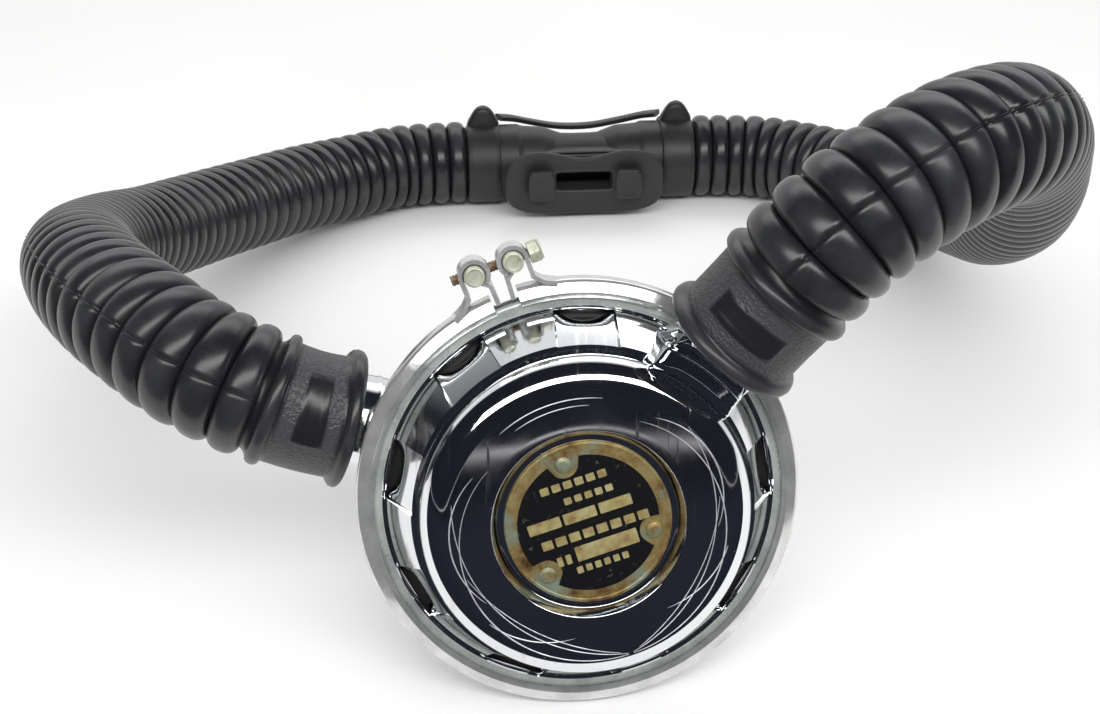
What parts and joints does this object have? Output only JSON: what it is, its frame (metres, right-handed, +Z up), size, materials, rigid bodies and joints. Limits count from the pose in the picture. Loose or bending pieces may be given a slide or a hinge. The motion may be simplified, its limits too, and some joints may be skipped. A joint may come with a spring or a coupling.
{
  "type": "scuba regulator set",
  "caption": "Vintage twin-hose scuba regulator: round chrome case on a clamp yoke, corrugated rubber breathing hoses and a rubber mouthpiece.",
  "frame": {"origin": "bottom centre of the object without its free hoses, on the surface it stands on", "axes": "+Z up; the front of the case looks along -Y, and the mouthpiece lies behind it along +Y"},
  "size_m": [0.3822, 0.4195, 0.183],
  "materials": {
    "chrome": "polished chrome on pressed brass, lightly pitted",
    "brass": "dull tarnished brass",
    "steel": "plain machined steel",
    "zinc": "pale greenish zinc, dull",
    "enamel": "black enamel in a tarnished metal ring",
    "hose_rubber": "moulded black rubber, slight sheen",
    "hard_rubber": "firm moulded black rubber",
    "soft_rubber": "soft black rubber"
  },
  "bodies": {
    "root": {"front_cover": "chrome", "exhaust_box": "chrome", "exhaust_horn": "chrome", "name_plate": "enamel", "plate_rivet_1": "brass", "plate_rivet_2": "brass", "plate_rivet_3": "brass", "exhaust_valve_seat": "brass", "diaphragm": "soft_rubber", "clamp_band": "chrome", "clamp_nut_left": "zinc", "clamp_nut_right": "zinc", "clamp_bolt": "zinc", "rear_box": "chrome", "intake_horn": "chrome", "first_stage_body": "chrome", "adjusting_cap": "brass", "main_spring": "steel", "valve_spring": "steel", "yoke_retainer": "chrome", "inlet_o_ring": "soft_rubber", "inlet_filter": "brass", "yoke": "chrome", "demand_valve_body": "brass", "lever_bracket": "steel", "lever_pin_1": "steel", "lever_pin_2": "steel", "mouthpiece_tube": "hard_rubber", "bite_piece": "soft_rubber", "bite_band": "soft_rubber", "intake_check_seat": "brass", "exhaust_check_seat": "brass", "strap_ring_left": "hard_rubber", "strap_ring_right": "hard_rubber", "neck_strap": "soft_rubber", "intake_hose": "hose_rubber", "exhaust_hose": "hose_rubber"},
    "exhaust_valve": {"exhaust_valve": "soft_rubber"},
    "diaphragm_plate": {"diaphragm_plate": "steel"},
    "demand_lever_1": {"demand_lever_1": "steel"},
    "demand_lever_2": {"demand_lever_2": "steel"},
    "demand_valve_pin": {"demand_valve_pin": "steel"},
    "high_pressure_valve": {"high_pressure_valve": "brass", "transfer_pin": "steel", "first_stage_diaphragm": "soft_rubber", "spring_pad": "brass"},
    "screw_pad": {"screw_pad": "steel"},
    "yoke_screw": {"yoke_screw": "steel", "yoke_knob": "hard_rubber"},
    "intake_check_flap": {"intake_check_flap": "soft_rubber"},
    "exhaust_check_flap": {"exhaust_check_flap": "soft_rubber"}
  },
  "joints": [
    {"name": "exhaust_valve_lift", "type": "slide", "parent": "root", "child": "exhaust_valve", "axis": [0.095, -0.9599, 0.2639], "range_m": [-0.0012, 0], "stiffness_N_per_m": 40},
    {"name": "diaphragm_travel", "type": "slide", "parent": "root", "child": "diaphragm_plate", "axis": [0.095, -0.9599, 0.2639], "range_m": [-0.003, 0], "stiffness_N_per_m": 200},
    {"name": "demand_lever_1_swing", "type": "hinge", "parent": "root", "child": "demand_lever_1", "pos_m": [0.02037, -0.15332, 0.06391], "axis": [-0.2993, 0.2253, 0.9272], "range_deg": [-10.2, 0]},
    {"name": "demand_lever_2_swing", "type": "hinge", "parent": "root", "child": "demand_lever_2", "pos_m": [0.0014, -0.15844, 0.05212], "axis": [0.2993, -0.2253, -0.9272], "range_deg": [-10.2, 0]},
    {"name": "demand_valve_stroke", "type": "slide", "parent": "root", "child": "demand_valve_pin", "axis": [0.095, -0.9599, 0.2639], "range_m": [-0.0018, 0]},
    {"name": "high_pressure_valve_stroke", "type": "slide", "parent": "root", "child": "high_pressure_valve", "axis": [0.095, -0.9599, 0.2639], "range_m": [-0.0003, 0], "stiffness_N_per_m": 200},
    {"name": "screw_pad_advance", "type": "slide", "parent": "root", "child": "screw_pad", "axis": [0.095, -0.9599, 0.2639], "range_m": [0, 0.0088]},
    {"name": "yoke_screw_turn", "type": "hinge", "parent": "screw_pad", "child": "yoke_screw", "pos_m": [0.00015, -0.04742, 0.0282], "axis": [0.095, -0.9599, 0.2639], "range_deg": [0, 1800]},
    {"name": "intake_check_lift", "type": "slide", "parent": "root", "child": "intake_check_flap", "axis": [0.9972, 0.075, 0], "range_m": [0, 0.0015], "stiffness_N_per_m": 20},
    {"name": "exhaust_check_lift", "type": "slide", "parent": "root", "child": "exhaust_check_flap", "axis": [0.9972, 0.075, 0], "range_m": [0, 0.0015], "stiffness_N_per_m": 20}
  ],
  "couplings": [
    {"joint": "demand_lever_1_swing", "follows": "diaphragm_travel", "rad_per_m": 58.18},
    {"joint": "demand_lever_2_swing", "follows": "diaphragm_travel", "rad_per_m": 58.18},
    {"joint": "demand_valve_stroke", "follows": "diaphragm_travel", "ratio": 0.5667},
    {"joint": "screw_pad_advance", "follows": "yoke_screw_turn", "m_per_rad": 0.00027852}
  ]
}
